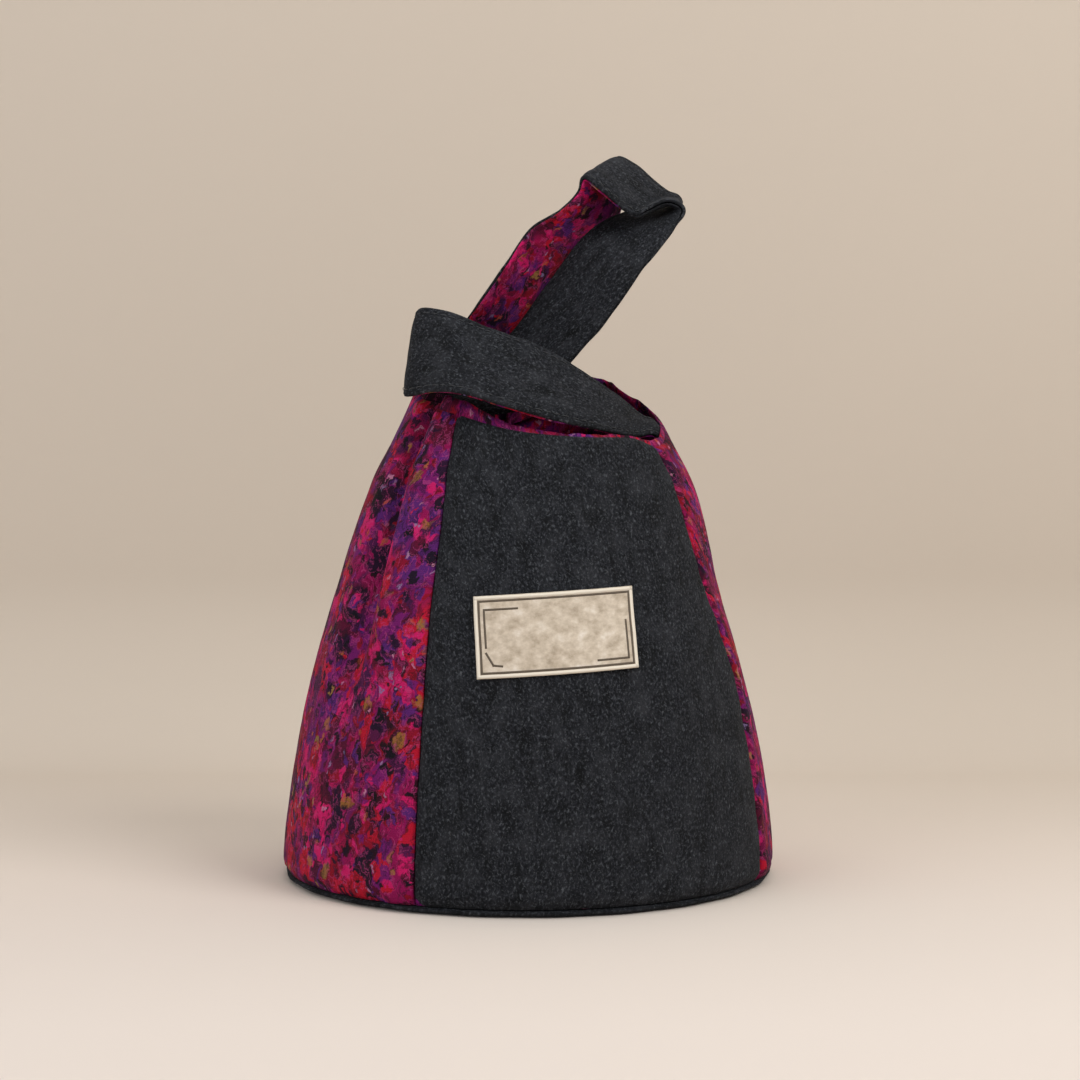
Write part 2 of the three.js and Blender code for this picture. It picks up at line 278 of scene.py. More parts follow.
# Inked veins: size across and along, turn, colour, half width and strength
VEINS = [(3.6, 10, 0.35, "#140c1c", 0.035, 0.65), (4.2, 12, -0.4, "#b8447e", 0.018, 0.45)]


def printed_cotton():
    """Plain-weave cotton with a loose painterly all-over print: soft washes and blots of magenta, crimson,
    plum and near black 5 to 18 mm across, brush marks 2 to 6 mm, and a few gold and lilac flecks. The
    weave, really about 0.4 mm, is drawn at 0.8 mm so that it shows. It has a slight satin gloss."""
    material, tree, shader, place = new_cloth("printed_cotton")
    drift = add_node(tree, "ShaderNodeTexNoise", {
        "Vector": scaled(tree, place, 5.5, 7), "Scale": 1.0, "Detail": 4.0, "Roughness": 0.6}, "Color")
    wander = add_node(tree, "ShaderNodeVectorMath", {0: drift, 1: (0.5, 0.5, 0.5)}, operation="SUBTRACT")
    wander = add_node(tree, "ShaderNodeVectorMath", {0: wander, "Scale": 10 * MM}, operation="SCALE")
    moved = add_node(tree, "ShaderNodeVectorMath", {0: place, 1: wander})

    def cells(size, turn, shift, rim, bare, step, strength):
        """Scattered cells with soft rims, some left bare: a random value for each, and their cover."""
        tint = add_node(tree, "ShaderNodeTexVoronoi", {
            "Vector": scaled(tree, moved, *size, turn, shift), "Scale": 1.0, "Randomness": 1.0},
            "Color", voronoi_dimensions="2D")
        value = add_node(tree, "ShaderNodeSeparateColor", {"Color": tint})
        inside = add_node(tree, "ShaderNodeMapRange", {
            "Value": tint.node.outputs["Distance"], "From Min": rim[0], "From Max": rim[1],
            "To Max": strength})
        drawn = add_node(tree, "ShaderNodeMapRange", {
            "Value": value.node.outputs[1], "From Min": bare, "From Max": bare + step})
        return value, add_node(tree, "ShaderNodeMath", {0: inside, 1: drawn}, operation="MULTIPLY")

    washes = add_node(tree, "ShaderNodeTexNoise", {
        "Vector": scaled(tree, moved, 14, 24), "Scale": 1.0, "Detail": 2.5, "Roughness": 0.5})
    colour = add_node(tree, "ShaderNodeValToRGB", {"Fac": washes}, stops=[
        (0.26, "#1d0d26"), (0.36, "#4c0b26"), (0.43, "#8c0e4a"), (0.49, "#5f175c"), (0.54, "#700b2b"),
        (0.60, "#9c1049"), (0.68, "#3e123f"), (0.76, "#0e0d13")])
    for across, along, turn, shift, bare, outer, inner, order in BLOTS:
        value, cover = cells((across, along), turn, shift, (outer, inner), bare, 0.02, 0.92)
        dyed = add_node(tree, "ShaderNodeValToRGB", {"Fac": value}, interpolation="CONSTANT", stops=[
            (k / len(order), DYES[dye]) for k, dye in enumerate(order)])
        colour = add_node(tree, "ShaderNodeMix", {0: cover, 6: colour, 7: dyed}, 2, data_type="RGBA")
    for across, along, shift, bare, low, high in FLECKS:
        value, cover = cells((across, along), 0.2, shift, (0.42, 0.24), bare, 0.01, 0.85)
        dyed = add_node(tree, "ShaderNodeValToRGB", {"Fac": value}, stops=[(0.2, low), (0.8, high)])
        colour = add_node(tree, "ShaderNodeMix", {0: cover, 6: colour, 7: dyed}, 2, data_type="RGBA")
    for across, along, turn, code, width, strength in VEINS:
        veins = add_node(tree, "ShaderNodeTexNoise", {
            "Vector": scaled(tree, moved, across, along, turn), "Scale": 1.0, "Detail": 4.0,
            "Roughness": 0.6})
        line = add_node(tree, "ShaderNodeMath", {0: veins, 1: 0.5}, operation="SUBTRACT")
        line = add_node(tree, "ShaderNodeMath", {0: line}, operation="ABSOLUTE")
        colour = lay_over(tree, colour, linear(code), line, width, width * 0.15, strength)
    weft, warp = (add_node(tree, "ShaderNodeTexWave", {
        "Vector": scaled(tree, place, 2.5, 2.5), "Scale": 1.0, "Distortion": 0.4}, "Fac",
        bands_direction=way) for way in "XY")
    weave = add_node(tree, "ShaderNodeMath", {0: weft, 1: warp}, operation="MULTIPLY")
    crease = add_node(tree, "ShaderNodeTexNoise", {
        "Vector": scaled(tree, place, 7, 13), "Scale": 1.0, "Detail": 2.0})
    height = add_node(tree, "ShaderNodeMath", {0: crease, 1: 6.0, 2: weave}, operation="MULTIPLY_ADD")
    relief = add_node(tree, "ShaderNodeBump", {"Height": height, "Strength": 0.4, "Distance": 0.22 * MM})
    wire(shader, {
        "Base Color": colour, "Normal": relief, "Roughness": 0.75, "Specular IOR Level": 0.12,
        "Sheen Weight": 0.02, "Sheen Roughness": 0.4, "Sheen Tint": linear("#c8608c")})
    return material


WOOL = brushed_wool()
PRINT = printed_cotton()

# Rough size of a panel, for its number of grid steps
PANEL_WIDTH, PANEL_HEIGHT = 0.140, 0.170
# Left and right seam of each panel: its angle at a height in millimetres
SEAMS = {
    "front": (lambda mm: -through(SEAM_OUTLINE, mm), lambda mm: through(PULLED_SEAM_OUTLINE, mm)),
    "right": (lambda mm: through(PULLED_SEAM_OUTLINE, mm), lambda mm: 180 - through(SEAM_OUTLINE, mm)),
    "back": (lambda mm: 180 - through(SEAM_OUTLINE, mm), lambda mm: 180 + through(SEAM_OUTLINE, mm)),
    "left": (lambda mm: through(SEAM_OUTLINE, mm) - 180, lambda mm: -through(SEAM_OUTLINE, mm)),
}


def wall_grid(seams, rise, step, foot_height):
    """Angles, heights and cloth places of a panel's grid; cloth places run in metres from its middle."""
    columns, rows = int(PANEL_WIDTH / step), int(PANEL_HEIGHT / step)
    t = np.linspace(0, 1, columns + 1)[None, :]
    s = np.linspace(0, 1, rows + 1)[:, None]

    def angle_at(z):
        gap = np.degrees(SEAM_GAP / 2 / (through(WALL_OUTLINE, z / MM, 1) * BASE_RADIUS))
        left, right = seams[0](z / MM) + gap, seams[1](z / MM) - gap
        return left + (right - left) * t

    z = foot_height + (rim_at(angle_at(s * RIM_HEIGHT)) + rise - foot_height) * s
    angle = angle_at(z)
    points = wall_points(angle, z, 0.0)
    across = np.linalg.norm(np.diff(points, axis=1), axis=2)
    middle = columns // 2
    u = np.concatenate([np.zeros((rows + 1, 1)), np.cumsum(across, 1)], 1)
    u = u - u[:, middle:middle + 1]
    up = np.linalg.norm(np.diff(points, axis=0), axis=2)
    v = np.concatenate([np.zeros((1, columns + 1)), np.cumsum(up, 0)], 0)
    return angle, z, u, v


def wall_panel(name, side, material, seed):
    """One padded outer panel with rolled seams, puckers beside them and soft waves over its face."""
    angle, z, u, v = wall_grid(SEAMS[side], 0.0, 1.3 * MM, BASE_TOP + SEAM_GAP)
    to_seam = np.minimum(u - u[:, :1], u[:, -1:] - u)
    to_rim = v[-1:] - v
    seam_roll = 1.3 * MM * np.exp(-(to_seam / (1.4 * MM)) ** 2)
    foot_roll = 1.8 * MM * np.exp(-(v / (2.2 * MM)) ** 2)
    rim_roll = 1.1 * MM * np.exp(-(to_rim / (1.0 * MM)) ** 2)
    pucker = cloth_noise(u * 0.25, v, 7 * MM, seed) * np.exp(-to_seam / (9 * MM)) * 0.55 * MM
    waves = cloth_noise(u, v * 0.55, 24 * MM, seed + 5) * 0.75 * MM * smooth(v, 0, 14 * MM)
    ripples = cloth_noise(u, v * 0.8, 9 * MM, seed + 9) * 0.22 * MM
    allowance = 0.0
    if side in ("left", "right"):
        edge = u[:, -1:] - u if side == "left" else u - u[:, :1]
        allowance = 0.8 * MM * smooth(edge, 12.6 * MM, 11.4 * MM) * smooth(v, 105 * MM, 75 * MM)
    face = (seam_roll + foot_roll + rim_roll) - (pucker + waves + ripples + allowance)
    front = wall_points(angle, z, face)
    back = wall_points(angle, z, np.maximum(face * 0.5, 0) + WOOL_THICKNESS)
    places = np.stack([u + seed * 0.31, v + seed * 0.17], -1)
    return sheet_mesh(name, front, back, places, material)


# Panels: side, piece, cloth, noise seed, CAD node and material slot
PANELS = [
    ("front", "front_wool_panel", WOOL, 3, "front_panel", "wool"),
    ("back", "back_wool_panel", WOOL, 11, "back_panel", "wool"),
    ("left", "left_print_panel", PRINT, 19, "left_side_panel", "print"),
    ("right", "right_print_panel", PRINT, 29, "right_side_panel", "print"),
]
for side, name, material, seed, node, slot in PANELS:
    wall_panel(name, side, material, seed)
    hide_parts(node)

# Base
# A disc of the same wool, cut round and sewn in under the walls. Its edge rolls under and shows as a
# thin dark band round the foot.
# Section of the base: shares of its radius and of its thickness, from the middle under and round to the top
BASE_SECTION = [(0.0, 0.10), (0.55, 0.05), (0.90, 0.0), (0.965, 0.0), (0.990, 0.12), (1.006, 0.40),
                (1.012, 0.72), (1.000, 0.96), (0.96, 1.0), (0.0, 1.0)]
BASE_TURNS = 180
EDGE_WAVES, EDGE_WAVE_HEIGHT, WAVY_FROM = 23, 0.25 * MM, 0.98
WELD = 1e-6

turn = np.radians(np.linspace(0, 360, BASE_TURNS, endpoint=False))
base_points, base_faces = [], []
for share, height in BASE_SECTION:
    wave = EDGE_WAVE_HEIGHT * np.sin(turn * EDGE_WAVES) if share > WAVY_FROM else 0 * turn
    radius = share * BASE_RADIUS + wave
    level = np.full(BASE_TURNS, height * BASE_TOP)
    base_points.append(np.stack([radius * np.cos(turn), radius * np.sin(turn), level], -1))
for k in range(len(BASE_SECTION) - 1):
    here = np.arange(BASE_TURNS) + k * BASE_TURNS
    there = np.roll(np.arange(BASE_TURNS), -1) + k * BASE_TURNS
    base_faces.append(np.stack([here, there, there + BASE_TURNS, here + BASE_TURNS], -1))
base_mesh = bpy.data.meshes.new("wool_base")
base_mesh.from_pydata(np.concatenate(base_points).tolist(), [], np.concatenate(base_faces).tolist())
base_map = base_mesh.uv_layers.new(name="cloth")
for loop in base_mesh.loops:
    x, y, z = base_mesh.vertices[loop.vertex_index].co
    base_map.data[loop.index].uv = (x, y + z)
face_outward(base_mesh, WELD)
base = place_mesh(base_mesh, WOOL)
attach(base, "root")
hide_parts("base_panel")

# Lining
# A loose inner bag of the same print, of four panels and a disc. It is turned in at the mouth and puffs
# up a little above the outer cloth, which shows as a thin bright edge.
LINING_THICKNESS = 0.9 * MM
LINING_INSET = WOOL_THICKNESS + SEAM_GAP
LINING_FLOOR = BASE_TOP + SEAM_GAP
# Puff of the lining above the rim in millimetres, against the angle round from the front
PUFF_OUTLINE = [(-180, 0.8), (-95, 1.0), (-75, 3.2), (-58, 4.6), (-47, 4.4), (-38, 2.8), (-24, 1.5),
                (-8, 0.6), (8, 0.7), (25, 0.6), (36, 1.8), (50, 1.8), (90, 1.2), (180, 0.8)]


def lining_panel(side, seed):
    """One loose lining panel with a crinkled upper edge that rolls over the wall's."""
    angle, z, u, v = wall_grid(SEAMS[side], 1.0 * MM, 1.8 * MM, LINING_FLOOR)
    to_rim = v[-1:] - v
    puff = through(PUFF_OUTLINE, half_turn(angle)) * MM
    crinkle = cloth_noise(u, u * 0, 5 * MM, seed + 2) * 0.6 * MM
    lift = (puff - 0.6 * MM + crinkle) * np.exp(-(to_rim / (4 * MM)) ** 2)
    swell = 0.5 * MM * np.exp(-((to_rim - 1.6 * MM) / (1.8 * MM)) ** 2) * np.clip(puff / (2 * MM), 0, 1)
    slack = np.abs(cloth_noise(u, v * 0.35, 11 * MM, seed)) * 1.1 * MM * smooth(to_rim, 1 * MM, 9 * MM)
    rolled = 0.35 * MM * np.exp(-(to_rim / (0.7 * MM)) ** 2)
    inner = wall_points(angle, z + lift, LINING_INSET + LINING_THICKNESS + slack - rolled)
    outer = wall_points(angle, z + lift, LINING_INSET + slack * 0.9 + rolled - swell * 0.5)
    places = np.stack([u + seed * 0.23, v + seed * 0.11], -1)
    return sheet_mesh("lining_cotton_" + side, outer, inner, places, PRINT)


for side, seed in (("front", 41), ("back", 48), ("left", 55), ("right", 62)):
    piece = lining_panel(side, seed)
    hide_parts("lining_" + side)

FLOOR_RINGS, FLOOR_SPOKES, FLOOR_HOLE = 40, 145, 0.002
floor_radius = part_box("lining_base")[1][0]
rings = np.linspace(FLOOR_HOLE, floor_radius, FLOOR_RINGS)[:, None]
spokes = np.radians(np.linspace(0, 360, FLOOR_SPOKES))[None, :]
floor_x, floor_y = rings * np.cos(spokes), rings * np.sin(spokes)
slack = np.abs(cloth_noise(floor_x, floor_y, 18 * MM, 77)) * 0.8 * MM
floor_top = np.stack([floor_x, floor_y, LINING_FLOOR + LINING_THICKNESS + slack], -1)
floor_under = np.stack([floor_x, floor_y, LINING_FLOOR + 0 * floor_x], -1)
floor_places = np.stack([floor_x + 3, floor_y], -1)
lining_floor = sheet_mesh("lining_cotton_floor", floor_under, floor_top, floor_places, PRINT)
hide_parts("lining_base")

# Label
# A small patch of coated cotton, cream with a mottled, aged face. It has a thin printed frame and
# corner brackets, its middle is bare, and it is sewn flat to the front panel.
LABEL_WIDTH, LABEL_HEIGHT, LABEL_THICKNESS = 55 * MM, 28 * MM, 0.9 * MM
LABEL_ANGLE, LABEL_LEVEL, LABEL_TURN = -12.7, 91.9 * MM, math.radians(3.6)
LABEL_UPRIGHT = math.cos(math.radians(15))
LABEL_REST = 0.75 * MM
LABEL_COLUMNS, LABEL_ROWS = 111, 57


def on_label(u, v, lift):
    """Points over the front panel at label places u across and v up, from its middle, in metres."""
    z = LABEL_LEVEL + (u * math.sin(LABEL_TURN) + v * math.cos(LABEL_TURN)) * LABEL_UPRIGHT
    along = u * math.cos(LABEL_TURN)
    angle = LABEL_ANGLE + np.degrees(along / (through(WALL_OUTLINE, z / MM, 1) * BASE_RADIUS))
    return wall_points(angle, z, -lift)


def label_wave(u, v):
    return cloth_noise(u, v, 13 * MM, 91) * 0.25 * MM


def aged_label_cloth():
    """Coated cotton: pale cream with soft brownish mottling and a dull smooth face."""
    material, tree, shader, place = new_cloth("aged_label_cloth")
    mottle = add_node(tree, "ShaderNodeTexNoise", {
        "Vector": scaled(tree, place, 5.5, 4.5), "Scale": 1.0, "Detail": 4.0, "Roughness": 0.62})
    colour = add_node(tree, "ShaderNodeValToRGB", {"Fac": mottle}, stops=[
        (0.30, "#a0917e"), (0.44, "#bcae9b"), (0.56, "#cfc2b0"), (0.72, "#e3dace")])
    grain = add_node(tree, "ShaderNodeTexNoise", {
        "Vector": scaled(tree, place, 0.8, 0.8), "Scale": 1.0, "Detail": 2.0})
    relief = add_node(tree, "ShaderNodeBump", {"Height": grain, "Strength": 0.3, "Distance": 0.12 * MM})
    wire(shader, {"Base Color": colour, "Normal": relief, "Roughness": 0.62})
    return material


def plain_finish(name, code, roughness):
    material, tree, shader = new_material(name)
    wire(shader, {"Base Color": linear(code), "Roughness": roughness})
    return material


def printed_line(name, corners, width, material, lift):
    """A thin printed line along label places, laid just over the label's face, one piece to a side."""
    for k, (start, end) in enumerate(zip(np.array(corners), np.array(corners[1:]))):
        run = end - start
        length = math.hypot(*run)
        half = width / 2 / length
        t = np.linspace(0, 1, max(2, int(length / (1.0 * MM))) + 1)[:, None]
        line = start - run * half + t * run * (1 + 2 * half)
        side = np.array([-run[1], run[0]]) * half
        pair = np.stack([line - side, line + side], 1)
        level = LABEL_REST + LABEL_THICKNESS + label_wave(pair[..., 0], pair[..., 1])
        over = on_label(pair[..., 0], pair[..., 1], level + lift)
        under = on_label(pair[..., 0], pair[..., 1], level - 0.1 * MM)
        sheet_mesh(f"{name}_{k}", over, under, pair, material)


def frame_corners(inset):
    u, v = LABEL_WIDTH / 2 - inset, LABEL_HEIGHT / 2 - inset
    return [(-u, -v), (u, -v), (u, v), (-u, v), (-u, -v)]


label_u = np.linspace(-0.5, 0.5, LABEL_COLUMNS)[None, :] * LABEL_WIDTH + np.zeros((LABEL_ROWS, 1))
label_v = np.linspace(-0.5, 0.5, LABEL_ROWS)[:, None] * LABEL_HEIGHT + np.zeros((1, LABEL_COLUMNS))
to_edge = np.minimum(LABEL_WIDTH / 2 - abs(label_u), LABEL_HEIGHT / 2 - abs(label_v))
wave = label_wave(label_u, label_v)
label_lift = LABEL_REST + LABEL_THICKNESS - 0.35 * MM * np.exp(-(to_edge / (0.5 * MM)) ** 2) + wave
label_front = on_label(label_u, label_v, label_lift)
label_back = on_label(label_u, label_v, LABEL_REST + wave * 0.5)
label_cloth = sheet_mesh("label_cloth", label_front, label_back, np.stack([label_u, label_v], -1),
                         aged_label_cloth())
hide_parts("label")

FRAME_INK = plain_finish("brown_black_ink", "#5b5043", 0.7)
EDGE_THREAD = plain_finish("pale_edge_band", "#e9e1d2", 0.8)
bracket_u, bracket_v = LABEL_WIDTH / 2 - 3.6 * MM, LABEL_HEIGHT / 2 - 3.8 * MM
printed_line("label_edge_band", frame_corners(0.75 * MM), 1.1 * MM, EDGE_THREAD, 0.03 * MM)
printed_line("label_frame_line", frame_corners(1.85 * MM), 0.75 * MM, FRAME_INK, 0.05 * MM)
for name, corners in (
        ("label_bracket_top", [(-bracket_u, -3.5 * MM), (-bracket_u, bracket_v - 1 * MM),
                               (-bracket_u + 11 * MM, bracket_v - 1 * MM)]),
        ("label_bracket_low", [(bracket_u - 11 * MM, -bracket_v), (bracket_u, -bracket_v),
                               (bracket_u, 2.5 * MM)]),
        ("label_corner_curl", [(-bracket_u, -5.5 * MM), (-bracket_u + 2.2 * MM, -bracket_v + 0.6 * MM),
                               (-bracket_u + 5 * MM, -bracket_v + 0.2 * MM)])):
    printed_line(name, corners, 0.7 * MM, FRAME_INK, 0.05 * MM)

# Long handle
# A flat strap, charcoal wool outside. It rises from the back left of the mouth, folds over at the top,
# curls round and comes down to the front left. Its inside is faced with print on the first arm and with
# wool on the second, and it is topstitched close to both edges.
STRAP_OUTER, STRAP_FACING = 1.2 * MM, 0.8 * MM
STRAP_INSET = LINING_INSET + LINING_THICKNESS + SEAM_GAP * 3 + STRAP_OUTER
OUTER_PUFF, FACING_PUFF, LAYER_GAP = 0.5 * MM, 0.35 * MM, 0.15 * MM
ROOT_DEPTH = 8 * MM
STITCH_INSET, STITCH_LENGTH, STITCH_PITCH, STITCH_RISE = 2.2 * MM, 2.6 * MM, 3.5 * MM, 0.22 * MM
THREAD, THREAD_SIDES = 0.16 * MM, 6
STITCH_THREAD = plain_finish("charcoal_sewing_thread", "#2b2e33", 0.6)
# Columns of a strap's rows, then curve steps from row to row and faces across
STRAP_COLUMNS, STEPS, ACROSS = 5, 22, 40
# Rows of the strap: near and far edge, millimetres, heights above the front rim
LONG_ROWS = [
    ((-26, 5, 38), (-6.5, 22, 29.5)),
    ((-14, -8.5, 60.5), (9, 9, 50.5)),
    ((-3.5, -12.5, 76.5), (20.5, 3, 65)),
    ((6, -16.5, 83), (32.5, 1.5, 78.5)),
    ((12.5, -19, 90), (38, 0, 91)),
    ((14, -20, 94.5), (36, -1, 107)),
    ((19, -23.5, 90), (41, -5, 104)),
    ((26.5, -25.5, 84), (49, -7.5, 97)),
    ((32, -25.5, 81.5), (54, -7, 94.5)),
    ((37, -25, 84), (59, -5, 93.5)),
    ((44.6, -26.6, 87.2), (61, -2, 91.5)),
    ((49.2, -28.8, 84.7), (57, 1, 90)),
    ((44.5, -31, 76.5), (38.4, -1.9, 87)),
    ((31.5, -32.4, 61.5), (19.5, -9.1, 76.5)),
    ((19.5, -27.3, 43), (5.9, -2.8, 57.5)),
    ((8.2, -20.8, 28.5), (-5.4, 2.6, 40.5)),
    ((-6.7, -23.1, 13), (-17, 3.3, 30)),
    ((-23.3, -24.3, 9), (-29.3, -3.8, 26)),
]
LONG_ROOTS = ((-139, -178), (-54, -86))
# The facing changes from print to wool at this row, with the two root rows counted
FACING_CHANGE = 9 * STEPS


def root_rows(near_angle, far_angle):
    """The strap's end, sewn flat inside the lining: a row below the rim and one just above it."""
    angle = np.linspace(near_angle, far_angle, STRAP_COLUMNS)
    return [wall_points(angle, rim_at(angle) + rise, STRAP_INSET) for rise in (-ROOT_DEPTH, 1 * MM)]


def free_row(row):
    near, far = (np.array([x * MM, y * MM, RIM_HEIGHT + h * MM]) for x, y, h in row)
    return np.array([near + (far - near) * t for t in np.linspace(0, 1, STRAP_COLUMNS)])


def smooth_curve(points, steps):
    """Points along a centripetal curve through the given ones, the same number of steps to each span."""
    points = np.array(points)
    ends = [2 * points[0] - points[1], *points, 2 * points[-1] - points[-2]]
    found = []
    for k in range(1, len(ends) - 2):
        p0, p1, p2, p3 = ends[k - 1:k + 3]
        d0, d1, d2 = (max(np.linalg.norm(b - a), 1e-9) ** 0.5 for a, b in ((p0, p1), (p1, p2), (p2, p3)))
        m1 = ((p1 - p0) / d0 - (p2 - p0) / (d0 + d1) + (p2 - p1) / d1) * d1
        m2 = ((p2 - p1) / d1 - (p3 - p1) / (d1 + d2) + (p3 - p2) / d2) * d1
        for t in np.linspace(0, 1, steps, endpoint=False):
            found.append(p1 + m1 * t + (3 * (p2 - p1) - 2 * m1 - m2) * t ** 2
                         + (2 * (p1 - p2) + m1 + m2) * t ** 3)
    return np.array(found + [points[-1]])


def strap_surface(rows, faces_out):
    """Middle surface of a strap with its normals, its cloth places and its width at each row."""
    spines = np.stack([smooth_curve([row[j] for row in rows], STEPS) for j in range(STRAP_COLUMNS)], 1)
    t = np.linspace(0, STRAP_COLUMNS - 1, ACROSS + 1)
    k = np.clip(t.astype(int), 0, STRAP_COLUMNS - 2)
    middle = spines[:, k] + (spines[:, k + 1] - spines[:, k]) * (t - k)[None, :, None]
    along, across = np.gradient(middle, axis=0), np.gradient(middle, axis=1)
    normal = np.cross(along, across) * faces_out
    normal /= np.linalg.norm(normal, axis=2, keepdims=True)
    run = np.linalg.norm(np.diff(middle[:, ACROSS // 2], axis=0), axis=1)
    v = np.concatenate([[0], np.cumsum(run)])[:, None] + np.zeros((1, ACROSS + 1))
    width = np.linalg.norm(middle[:, -1] - middle[:, 0], axis=1)[:, None]
    u = (np.linspace(-0.5, 0.5, ACROSS + 1)[None, :]) * width
    return middle, normal, u, v, width


def strap_layer(name, surface, material, side, thickness, puff, seed, first=0, last=None):
    """One cloth layer of a strap, on side 1 or -1 of its middle surface, padded between its stitch lines
    and rounded at its edges."""
    part = slice(first, last)
    points, out, u, v, width = (grid[part] for grid in surface)
    to_edge = width / 2 - abs(u)
    padded = puff * smooth(to_edge, 0, 7 * MM)
    groove = 0.35 * MM * np.exp(-((to_edge - STITCH_INSET) / (0.55 * MM)) ** 2)
    ripple = cloth_noise(u, v, 6.5 * MM, seed) * 0.30 * MM
    buckle = cloth_noise(u * 0.4, v, 15 * MM, seed + 3) * 0.55 * MM
    rounded = 0.55 * MM * np.exp(-(to_edge / (0.6 * MM)) ** 2)
    shift = (padded - groove - rounded + ripple * 0.6) * side
    common = buckle + ripple * 0.4
    front = points + out * (side * (LAYER_GAP + thickness) + shift + common)[..., None]
    back = points + out * (side * LAYER_GAP + common)[..., None]
    places = np.stack([u + seed * 0.19, v + seed * 0.07], -1)
    return sheet_mesh(name, front, back, places, material)


def stitches(name, surface, lift):
    """Topstitch thread along both edges of a strap, in short rounded stitches lifted off its middle."""
    middle, normal, u, v, width = surface
    run, last = v[:, 0], middle.shape[0] - 1
    build = bmesh.new()
    for side in (-1, 1):
        at = run[0] + 1.5 * MM
        while at < run[last] - 3 * MM:
            start = int(np.searchsorted(run, at))
            end = min(int(np.searchsorted(run, at + STITCH_LENGTH)), last)
            ends = []
            for row in (start, end):
                column = (0.5 + side * (0.5 - STITCH_INSET / width[row, 0])) * ACROSS
                c = int(min(max(column, 0), ACROSS - 1))
                spot = middle[row, c] + (middle[row, c + 1] - middle[row, c]) * (column - c)
                ends.append(Vector(spot + normal[row, c] * (lift - 0.02 * MM)))
            outward = Vector(normal[start, ACROSS // 2])
            mid = (ends[0] + ends[1]) / 2 + outward * STITCH_RISE
            axis = (ends[1] - ends[0]).normalized()
            side_way = axis.cross(outward).normalized()
            up_way = side_way.cross(axis).normalized()
            rings = []
            for centre, size in ((ends[0], 0.35), (ends[0].lerp(mid, 0.4), 1.0), (mid, 1.1),
                                 (mid.lerp(ends[1], 0.6), 1.0), (ends[1], 0.35)):
                rings.append([
                    build.verts.new(
                        centre + (side_way * math.cos(a) + up_way * math.sin(a)) * THREAD * size)
                    for a in np.linspace(0, 2 * math.pi, THREAD_SIDES, endpoint=False)])
            for one, two in zip(rings, rings[1:]):
                for k in range(THREAD_SIDES):
                    after = (k + 1) % THREAD_SIDES
                    build.faces.new((one[k], one[after], two[after], two[k]))
            build.faces.new(rings[0][::-1])
            build.faces.new(rings[-1])
            at += STITCH_PITCH
    bmesh.ops.recalc_face_normals(build, faces=build.faces)
    mesh = bpy.data.meshes.new(name)
    build.to_mesh(mesh)
    build.free()
    piece = place_mesh(mesh, STITCH_THREAD)
    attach(piece, "root")


def handle(name, rows, roots, faces_out, seed, facings):
    """A strap from root to root: its wool, its facings (piece, node, cloth, slot, seed and the rows that
    they cover) and its topstitching."""
    start, end = (root_rows(*root) for root in roots)
    surface = strap_surface([*start, *(free_row(row) for row in rows), *end[::-1]], faces_out)
    outer = strap_layer(name + "_wool", surface, WOOL, 1, STRAP_OUTER, OUTER_PUFF, seed)
    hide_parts(name + "_outer")
    for piece_name, node, material, slot, facing_seed, first, last in facings:
        facing = strap_layer(piece_name, surface, material, -1, STRAP_FACING, FACING_PUFF, facing_seed,
                             first, last)
        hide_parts(node)
    stitches(name + "_topstitch", surface, LAYER_GAP + STRAP_OUTER)


handle("long_handle", LONG_ROWS, LONG_ROOTS, 1, 53, [
    ("long_handle_print_facing", "long_handle_back_facing", PRINT, "print", 57, 0, FACING_CHANGE),
    ("long_handle_wool_facing", "long_handle_front_facing", WOOL, "wool", 61, FACING_CHANGE, None)])

# Short handle
# The same strap, shorter and faced with print all along. It starts gathered at the front right of the
# mouth, passes in front of the long handle, folds back sharply at the left and ends at the back right.
SHORT_ROWS = [
    ((31, -29, 1), (38, -16, 10)),
    ((15, -40, 2), (26, -22, 16)),
    ((1, -44.5, 4), (14, -26, 22.5)),
    ((-13, -44.5, 6.8), (0.5, -27, 29.5)),
    ((-25.5, -42, 10.4), (-12.5, -26, 35)),
    ((-37, -35.5, 14.3), (-24, -20.5, 39.5)),
    ((-44.5, -24, 15.8), (-35, -14, 45)),
    ((-49.5, -12.5, 15), (-42, -6.5, 47)),
    ((-49, -6, 15.5), (-42, 0, 46)),
    ((-44, 4, 20), (-36, 7, 43.5)),
    ((-32, 28, 30), (-24, 22, 43)),
    ((-15, 42, 32), (-6, 32, 42)),
    ((0, 44, 28), (14, 36, 36)),
]
SHORT_ROOTS = ((54, 72), (176, 141))
handle("short_handle", SHORT_ROWS, SHORT_ROOTS, -1, 71, [
    ("short_handle_print_facing", "short_handle_facing", PRINT, "print", 73, 0, None)])

# Studio
# A pale beige sweep, a floor that curves up into a wall, under broad soft lamps at the upper right, the
# left and overhead, with the camera at the photograph's place.
FLOOR_FRONT, FLOOR_DEPTH, SWEEP_RADIUS, WALL_HEIGHT, SWEEP_HALF_WIDTH = -2.5, 0.36, 0.10, 2.2, 3.0
CURVE_STEPS = 16
VIEW_TURN = math.radians(-21)
right = Vector((math.cos(VIEW_TURN), math.sin(VIEW_TURN), 0))
ahead = Vector((-math.sin(VIEW_TURN), math.cos(VIEW_TURN), 0))
up = Vector((0, 0, 1))
profile = [(FLOOR_FRONT, 0.0), (-0.6, 0.0), (0.0, 0.0), (FLOOR_DEPTH - SWEEP_RADIUS, 0.0)]
for k in range(1, CURVE_STEPS + 1):
    a = math.radians(90 * k / CURVE_STEPS)
    profile.append((FLOOR_DEPTH - SWEEP_RADIUS * (1 - math.sin(a)), SWEEP_RADIUS * (1 - math.cos(a))))
profile.append((FLOOR_DEPTH, WALL_HEIGHT))
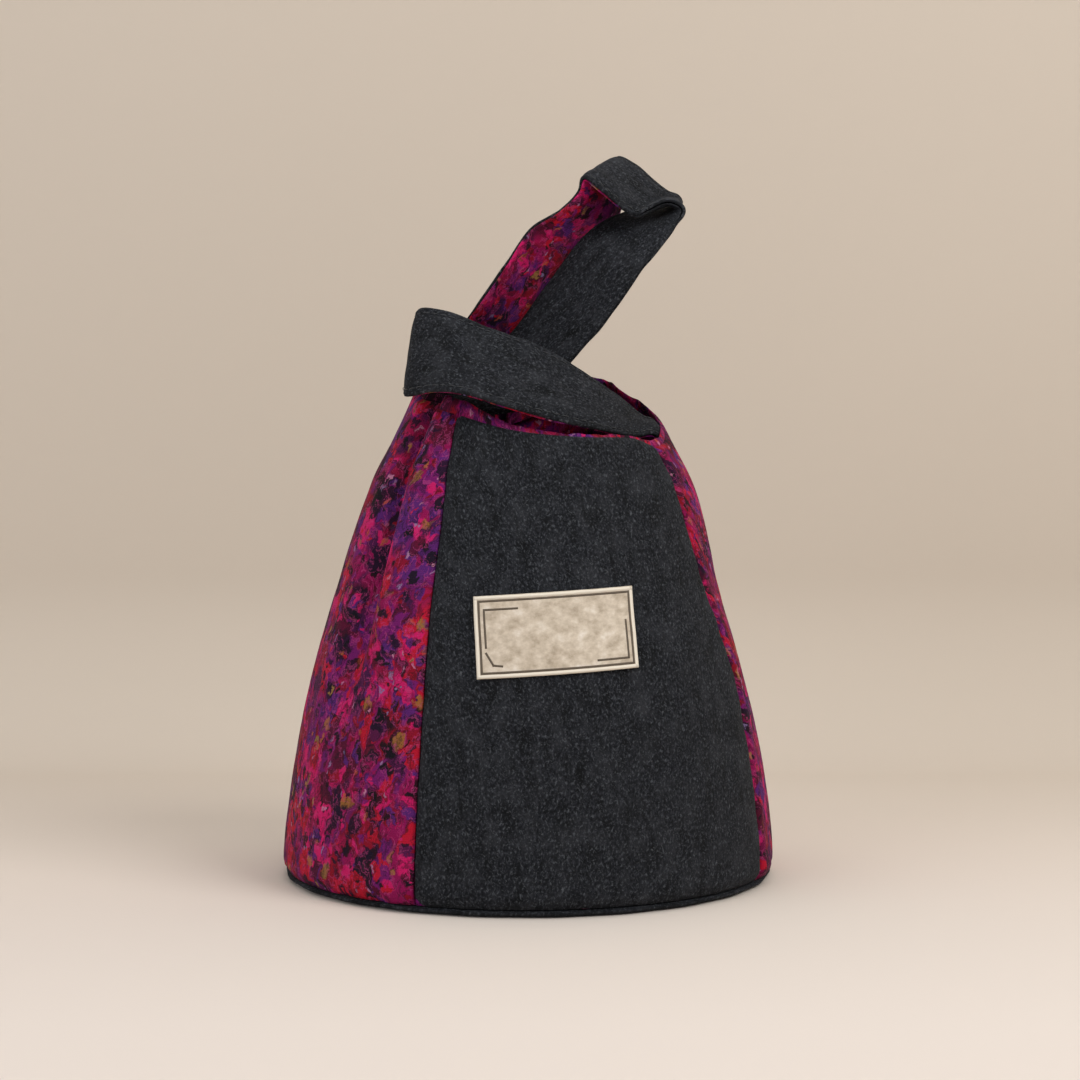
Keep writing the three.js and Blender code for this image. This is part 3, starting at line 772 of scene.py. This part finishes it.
sweep_points = [tuple(right * side * SWEEP_HALF_WIDTH + ahead * depth + up * height)
                for depth, height in profile for side in (-1, 1)]
sweep_faces = [(2 * k, 2 * k + 1, 2 * k + 3, 2 * k + 2) for k in range(len(profile) - 1)]


def paper_with_painted_falloff():
    """Matt warm beige background paper. Its colour carries painted shade: lighter on the floor towards the
    front, darker on the far floor and the wall, where the light falls off.
    """
    material, tree, shader = new_material("matt_background_paper")
    spot = add_node(tree, "ShaderNodeNewGeometry", {}, "Position")
    depth = add_node(tree, "ShaderNodeVectorMath", {0: spot, 1: tuple(ahead)}, "Value",
                     operation="DOT_PRODUCT")
    # painted shade: the paper's colour darkens with depth from the front of the floor to the wall, standing
    # in for the light's falloff
    colour = lay_over(tree, linear("#e5dcd5"), linear("#cfc4b7"), depth, -0.22, 0.34)
    wire(shader, {"Base Color": colour, "Roughness": 1.0, "Specular IOR Level": 0.0})
    return material


sweep_mesh = bpy.data.meshes.new("studio_sweep")
sweep_mesh.from_pydata(sweep_points, [], sweep_faces)
place_mesh(sweep_mesh, paper_with_painted_falloff())

# Lamps: name, place to the right of, ahead of and above the aim, size, watts and colour
LAMP_AIM = Vector((0, 0, 0.12))
LAMPS = [
    ("key_softbox", 0.85, -0.7, 0.85, 0.8, 9.6, "#fffcf8"),
    ("fill_softbox", -1.0, -0.8, 0.35, 1.2, 6.0, "#fafbff"),
    ("top_softbox", 0.0, 0.1, 1.15, 1.4, 8, "#fffdfa"),
]
for name, aside, forward, above, size, watts, code in LAMPS:
    light = bpy.data.lights.new(name, "AREA")
    light.shape = "DISK"
    light.size = size
    light.energy = watts
    light.color = linear(code)[:3]
    lamp = bpy.data.objects.new(name, light)
    lamp.location = LAMP_AIM + right * aside + ahead * forward + up * above
    lamp.rotation_euler = (LAMP_AIM - lamp.location).to_track_quat("-Z", "Y").to_euler()
    bpy.context.scene.collection.objects.link(lamp)

world = bpy.data.worlds.new("studio_air")
world.use_nodes = True
wire(world.node_tree.nodes["Background"], {"Color": linear("#f4f2ef"), "Strength": 0.3})
bpy.context.scene.world = world

CAMERA_DISTANCE, CAMERA_HEIGHT, CAMERA_SIDE = 0.700, 0.128, 0.0044
CAMERA_LENS, SENSOR_WIDTH, CAMERA_DIP = 63, 36, 0.485
camera_data = bpy.data.cameras.new("studio_camera")
camera_data.sensor_width = SENSOR_WIDTH
camera_data.lens = CAMERA_LENS
camera = bpy.data.objects.new("studio_camera", camera_data)
camera.location = -ahead * CAMERA_DISTANCE + right * CAMERA_SIDE + up * CAMERA_HEIGHT
camera.rotation_euler = (math.radians(90 - CAMERA_DIP), 0, VIEW_TURN)
bpy.context.scene.collection.objects.link(camera)
bpy.context.scene.camera = camera
bpy.context.scene.view_settings.view_transform = "Standard"
